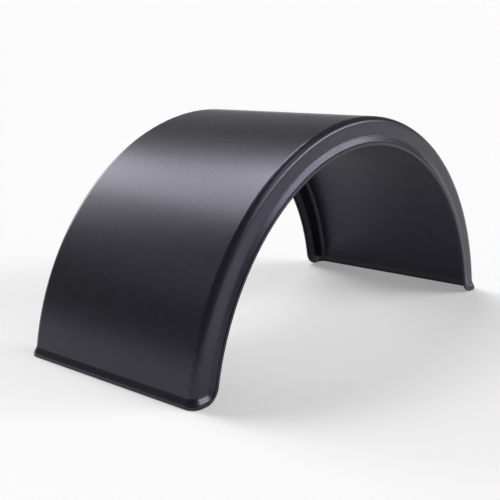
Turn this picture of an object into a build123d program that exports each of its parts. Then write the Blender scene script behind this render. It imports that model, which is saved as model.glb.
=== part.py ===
from build123d import *

import os
from math import atan, sqrt, tan

# Mudguard for a light trailer: one arch of moulded plastic, open underneath, with no other piece.
# It stands on its two feet, the wheel's axis runs along Y, and the near flange is the one at -Y.
# It is built about the wheel's axis: the left half first, then its mirror image, then down to the floor.

# Driving dimensions, in millimetres
guard_width = 303.3  # between the flat faces of the two flanges
near_radius = 356.0  # wheel axis to the tread at the near flange
far_radius = 344.0  # the same at the far flange, smaller by the draft of the mould
axis_depth = 37.5  # wheel axis below the floor, so the arch is a little less than half round
wall = 3.5  # thickness of the plastic
shoulder_radius = 10.0  # rounded edge between tread and flange, outside
flange_depth = 40.4  # tread to the trimmed edge of the lip
corner_radius = 24.0  # lip at the four lower corners

# The rim all round the trimmed edge: a bevel that flares out, a groove and a flat lip
rim_lead = 2.0  # from the line where the rim's section begins to the bevel
rim_sink = 0.3  # the section begins this deep in the wall and comes out through the skin
bevel_width = 7.5
bevel_rise = 3.8
bevel_ease = 1.5  # half the length of the softer slope at its start
groove_width = 1.1
groove_depth = 1.0
lip_width = 5.0
lip_rise = 4.6
lip_chamfer = 0.7  # both edges of the lip's face
clearance = 1.0  # how far a cut runs past the faces that it trims

# Worked out from the dimensions above
half_width = guard_width / 2
shoulder_end = shoulder_radius + 2.0  # tread to the flange's flat, a little past the shoulder
rim_width = rim_lead + bevel_width + groove_width + lip_width
rim_height = axis_depth + rim_width  # wheel axis to the level plane where the rim of a foot begins
bevel_slope = atan(bevel_rise / bevel_width)
plain_reach = rim_width - lip_width / 2  # plain wall below that line, which the rim's hollow trims
# Seen from below: local x points to the left foot, where the rim's section is drawn, and local y is +Y
foot_plane = Plane(origin=(0, 0, rim_height), x_dir=(-1, 0, 0), z_dir=(0, 0, -1))


def across(radius, height):
    """Distance from the middle to a circle about the wheel's axis, at a height above that axis"""
    return sqrt(radius**2 - height**2)


def skin_path(height):
    """Outer line of tread, shoulders and the tops of the flanges, cut level above the wheel's axis"""
    return FilletPolyline(
        (across(near_radius - shoulder_end, height), -half_width),
        (across(near_radius, height), -half_width),
        (across(far_radius, height), half_width),
        (across(far_radius - shoulder_end, height), half_width),
        radius=shoulder_radius,
    )


def flange_outline(side, radius, reach):
    """Flat crescent of a flange below its shoulder, drawn out past the line where the rim begins"""
    top = radius - shoulder_end
    edge = radius - flange_depth + rim_width - reach
    height = rim_height - reach
    with BuildSketch(Plane(origin=(0, side * half_width, 0), x_dir=(1, 0, 0), z_dir=(0, -1, 0))) as crescent:
        with BuildLine():
            inner = ThreePointArc((across(edge, height), height), (0, edge), (-across(edge, height), height))
            outer = ThreePointArc((across(top, height), height), (0, top), (-across(top, height), height))
            Line(inner @ 0, outer @ 0)
            Line(inner @ 1, outer @ 1)
        make_face()
        fillet(crescent.vertices().sort_by_distance((0, 0, 0))[:2], corner_radius - rim_width + reach)
    return crescent.sketch


def rim_profile():
    """Outside of the rim, in its section: x runs off the edge and y runs out from the skin"""
    bevel_end = rim_lead + bevel_width
    groove_floor = bevel_rise - groove_depth
    lip_start = bevel_end + groove_width
    Polyline(
        (0, -rim_sink),
        (rim_lead - bevel_ease, -rim_sink * bevel_ease / rim_lead),
        (rim_lead + bevel_ease, bevel_ease * tan(bevel_slope)),
        (bevel_end, bevel_rise),
        (bevel_end, groove_floor),
        (lip_start, groove_floor),
        (lip_start, lip_rise - lip_chamfer),
        (lip_start + lip_chamfer, lip_rise),
        (rim_width - lip_chamfer, lip_rise),
        (rim_width, lip_rise - lip_chamfer),
        (rim_width, -wall / 2),
        (0, -wall / 2),
        close=True,
    )


def hollow_profile():
    """What is cut away inside the rim, so that the wall is equally thick under the bevel and the lip"""
    inner_crease = rim_lead + wall * tan(bevel_slope / 2)
    Polyline(
        (inner_crease - clearance / tan(bevel_slope), -wall - clearance),
        (inner_crease + lip_rise / tan(bevel_slope), lip_rise - wall),
        (rim_width + clearance, lip_rise - wall),
        (rim_width + clearance, -wall - clearance),
        close=True,
    )


def swept_section(profile, side, radius, path):
    """One of the two profiles, drawn beside the left foot's shoulder and swept along a path from there"""
    start = foot_plane.from_local_coords((across(radius - shoulder_end, rim_height), side * half_width))
    with BuildSketch(Plane(origin=start, x_dir=(0, 0, -1), z_dir=(side, 0, 0))) as section:
        with BuildLine():
            profile()
        make_face()
    return sweep(section.sketch, path=path)


def round_the_edge(profile):
    """A profile swept along the two flanges and across the left foot"""
    with BuildPart() as band:
        for side, radius in ((-1, near_radius), (1, far_radius)):
            crescent = flange_outline(side, radius, 0)
            swept_section(profile, side, radius, Wire(crescent.edges().sort_by(SortBy.LENGTH)[:-1]))
        with BuildLine(foot_plane) as foot_line:
            skin_path(rim_height)
        swept_section(profile, -1, near_radius, foot_line.line)
    return band.part


with BuildPart() as mudguard:
    # Tread and shoulders: the wall's section turned about the wheel's axis and cut level above the floor
    with BuildSketch(Plane(origin=(0, 0, 0), x_dir=(-1, 0, 0), z_dir=(0, 0, -1))):
        with BuildLine():
            skin_path(0)
            offset(amount=wall, side=Side.LEFT)
        make_face()
    revolve(axis=Axis.Y, revolution_arc=180)
    split(bisect_by=Plane.XY.offset(rim_height - plain_reach), keep=Keep.TOP)

    # The two flanges, then the rim and its hollow along the edge
    for side, radius in ((-1, near_radius), (1, far_radius)):
        extrude(flange_outline(side, radius, plain_reach), amount=side * wall)
    add(round_the_edge(rim_profile))
    add(round_the_edge(hollow_profile), mode=Mode.SUBTRACT)

    # The left half and its mirror image
    split(bisect_by=Plane.YZ, keep=Keep.BOTTOM)
    mirror(about=Plane.YZ)

standing = mudguard.part.translate((0, 0, -axis_depth))
standing.label = "mudguard"
os.makedirs("parts", exist_ok=True)
export_step(standing, "parts/mudguard.step")
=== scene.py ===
import math

import bpy
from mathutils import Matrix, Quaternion, Vector

# Moulded trailer mudguard in satin black plastic, standing on a pale studio floor.
# Metres, in the frame of the CAD part: the wheel's axis runs along Y and the near flange is at -Y.
# Angles are in degrees, and an azimuth goes round from +X towards +Y.

# The photograph's viewpoint
VIEW_ELEVATION = 13.76
VIEW_AZIMUTH = 218.93
VIEW_ROLL = 0.24
VIEW_DISTANCE = 1.62
VIEW_AIM = Vector((-0.0310, 0.0225, 0.1102))
LENS_MM = 78.4
SENSOR_MM = 36.0

# Soft lamps: name, elevation, azimuth, width as seen from the object, strength
LAMPS = (
    ("back_softbox", 25, 81, 26, 1.0),
    ("back_side_softbox", 30, 96, 22, 0.20),
    ("high_back_softbox", 50, 87, 22, 0.50),
    ("high_side_softbox", 58, 67, 22, 0.72),
    ("low_side_softbox", 12, 42, 24, 0.02),
    ("left_softbox", 30, 130, 16, 0.03),
    ("front_strip_left", 21, 299, 14, 0.40),
    ("front_strip_middle", 20, 313, 14, 0.52),
    ("front_strip_right", 19, 327, 12, 0.30),
    ("front_softbox", 35, 285, 20, 0.28),
    ("high_front_softbox", 58, 292, 30, 0.32),
)

# World: the heights, as sines, between which it fades, and its strength below and above them
WORLD_FADE = (0.02, 0.10)
WORLD_STRENGTH = (1.0, 0.17)
WHITE = (1.0, 1.0, 1.0, 1.0)

# Floor: its reach, its colour, and the glow that only the camera and reflections see
FLOOR_REACH = 60.0
FLOOR_COLOUR = (0.74, 0.74, 0.74, 1.0)
FLOOR_GLOW = (0.28, 0.28, 0.28, 1.0)

# Plastic: the mottled black, with the noise levels at which it is darkest and lightest.
# The size of a noise is that of its largest features, and its detail is the number of finer octaves.
DARK_BLACK = (0.0080, 0.0075, 0.0105, 1.0)
LIGHT_BLACK = (0.0140, 0.0130, 0.0180, 1.0)
MOTTLE_LEVELS = (0.3, 0.7)
MOTTLE_SIZE = 0.022
MOTTLE_DETAIL = 3.0

# Plastic: the gloss, with the noise levels at which it is smoothest and roughest
GLOSS_TINT = (0.78, 0.73, 1.0, 1.0)
PLASTIC_IOR = 1.55
GRAIN_LEVELS = (0.25, 0.75)
ROUGHNESS = (0.25, 0.33)

# Plastic: the relief of the grain and of the orange peel, and the softened edges
GRAIN_SIZE = 0.0010
GRAIN_DETAIL = 2.0
GRAIN_HEIGHT = 0.000028
PEEL_SIZE = 0.0035
PEEL_DETAIL = 1.0
PEEL_HEIGHT = 0.000035
EDGE_RADIUS = 0.0004
EDGE_SAMPLES = 8


def direction(elevation, azimuth):
    """Unit vector from the object towards a camera or lamp"""
    up = math.radians(elevation)
    around = math.radians(azimuth)
    return Vector((math.cos(around) * math.cos(up), math.sin(around) * math.cos(up), math.sin(up)))


def add_object(name, data):
    """Object in the scene that holds the given camera, lamp or mesh"""
    item = bpy.data.objects.new(name, data)
    bpy.context.scene.collection.objects.link(item)
    return item


def add_camera():
    """Camera at the photograph's viewpoint"""
    back = direction(VIEW_ELEVATION, VIEW_AZIMUTH)
    camera = add_object("camera", bpy.data.cameras.new("camera"))
    camera.data.sensor_width = SENSOR_MM
    camera.data.lens = LENS_MM
    camera.location = VIEW_AIM + back * VIEW_DISTANCE
    roll = Quaternion((0, 0, 1), math.radians(VIEW_ROLL))
    camera.rotation_euler = ((-back).to_track_quat("-Z", "Y") @ roll).to_euler()
    bpy.context.scene.camera = camera


def add_lamp(name, elevation, azimuth, width, strength):
    """Soft lamp far away, which looks like a disc of the given width"""
    lamp = add_object(name, bpy.data.lights.new(name, "SUN"))
    lamp.data.angle = math.radians(width)
    lamp.data.energy = strength
    lamp.rotation_euler = (-direction(elevation, azimuth)).to_track_quat("-Z", "Y").to_euler()


def carried(tree, value, levels, results, easing="LINEAR"):
    """A value carried from one pair of levels to another, and held beyond them"""
    node = tree.nodes.new("ShaderNodeMapRange")
    node.interpolation_type = easing
    node.inputs["From Min"].default_value = levels[0]
    node.inputs["From Max"].default_value = levels[1]
    node.inputs["To Min"].default_value = results[0]
    node.inputs["To Max"].default_value = results[1]
    tree.links.new(value, node.inputs["Value"])
    return node.outputs["Result"]


def maximum(tree, first, second):
    """The larger of two values"""
    node = tree.nodes.new("ShaderNodeMath")
    node.operation = "MAXIMUM"
    tree.links.new(first, node.inputs[0])
    tree.links.new(second, node.inputs[1])
    return node.outputs[0]


def noise(tree, place, size, detail):
    """Noise whose features are about the given size"""
    texture = tree.nodes.new("ShaderNodeTexNoise")
    texture.inputs["Scale"].default_value = 1 / size
    texture.inputs["Detail"].default_value = detail
    tree.links.new(place, texture.inputs["Vector"])
    return texture.outputs["Fac"]


def relief(tree, height, depth, normal):
    """Relief of the given depth on top of another normal"""
    node = tree.nodes.new("ShaderNodeBump")
    node.inputs["Distance"].default_value = depth
    tree.links.new(height, node.inputs["Height"])
    tree.links.new(normal, node.inputs["Normal"])
    return node.outputs["Normal"]


def add_material(name):
    """Material with its node tree and its shader"""
    material = bpy.data.materials.new(name)
    material.use_nodes = True
    return material, material.node_tree, material.node_tree.nodes["Principled BSDF"]


def studio_world():
    """White just above the horizon, as a studio's back wall, and an even dim grey overhead"""
    world = bpy.data.worlds.new("studio")
    bpy.context.scene.world = world
    world.use_nodes = True
    tree = world.node_tree
    heading = tree.nodes.new("ShaderNodeSeparateXYZ")
    tree.links.new(tree.nodes.new("ShaderNodeTexCoord").outputs["Generated"], heading.inputs[0])
    strength = carried(tree, heading.outputs["Z"], WORLD_FADE, WORLD_STRENGTH, "SMOOTHSTEP")
    background = tree.nodes["Background"]
    background.inputs["Color"].default_value = WHITE
    tree.links.new(strength, background.inputs["Strength"])


def white_floor():
    """Dull white, a little brighter to the camera and in reflections than the lamps make it"""
    material, tree, shader = add_material("white_floor")
    shader.inputs["Base Color"].default_value = FLOOR_COLOUR
    shader.inputs["Roughness"].default_value = 1.0
    shader.inputs["Specular IOR Level"].default_value = 0.0
    shader.inputs["Emission Color"].default_value = FLOOR_GLOW
    ray = tree.nodes.new("ShaderNodeLightPath")
    seen = maximum(tree, ray.outputs["Is Camera Ray"], ray.outputs["Is Glossy Ray"])
    seen = maximum(tree, seen, ray.outputs["Is Transmission Ray"])
    tree.links.new(seen, shader.inputs["Emission Strength"])
    return material


def add_floor():
    """Plain floor that reaches the horizon"""
    mesh = bpy.data.meshes.new("floor")
    corners = [(x * FLOOR_REACH, y * FLOOR_REACH, 0) for x, y in ((-1, -1), (1, -1), (1, 1), (-1, 1))]
    mesh.from_pydata(corners, [], [(0, 1, 2, 3)])
    mesh.materials.append(white_floor())
    add_object("floor", mesh)


def black_plastic():
    """Satin black moulded plastic: faintly mottled, with a fine grain and a slight orange peel"""
    material, tree, shader = add_material("satin_black_plastic")
    shader.inputs["IOR"].default_value = PLASTIC_IOR
    shader.inputs["Specular Tint"].default_value = GLOSS_TINT
    place = tree.nodes.new("ShaderNodeTexCoord").outputs["Object"]

    colours = tree.nodes.new("ShaderNodeValToRGB")
    ends = zip(colours.color_ramp.elements, MOTTLE_LEVELS, (DARK_BLACK, LIGHT_BLACK))
    for end, level, colour in ends:
        end.position = level
        end.color = colour
    tree.links.new(noise(tree, place, MOTTLE_SIZE, MOTTLE_DETAIL), colours.inputs["Fac"])
    tree.links.new(colours.outputs["Color"], shader.inputs["Base Color"])

    grain = noise(tree, place, GRAIN_SIZE, GRAIN_DETAIL)
    tree.links.new(carried(tree, grain, GRAIN_LEVELS, ROUGHNESS), shader.inputs["Roughness"])

    soft_edges = tree.nodes.new("ShaderNodeBevel")
    soft_edges.samples = EDGE_SAMPLES
    soft_edges.inputs["Radius"].default_value = EDGE_RADIUS
    peel = noise(tree, place, PEEL_SIZE, PEEL_DETAIL)
    normal = relief(tree, peel, PEEL_HEIGHT, soft_edges.outputs["Normal"])
    normal = relief(tree, grain, GRAIN_HEIGHT, normal)
    tree.links.new(normal, shader.inputs["Normal"])
    return material


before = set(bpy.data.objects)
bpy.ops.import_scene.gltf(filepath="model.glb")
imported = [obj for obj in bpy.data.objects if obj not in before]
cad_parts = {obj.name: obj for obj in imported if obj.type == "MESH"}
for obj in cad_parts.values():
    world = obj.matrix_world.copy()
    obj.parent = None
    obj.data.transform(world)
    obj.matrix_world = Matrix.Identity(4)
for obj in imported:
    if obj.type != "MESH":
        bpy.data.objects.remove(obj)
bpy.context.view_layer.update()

add_camera()
for lamp in LAMPS:
    add_lamp(*lamp)
studio_world()
add_floor()
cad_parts["mudguard"].material_slots[0].material = black_plastic()

bpy.context.scene.view_settings.view_transform = "Standard"
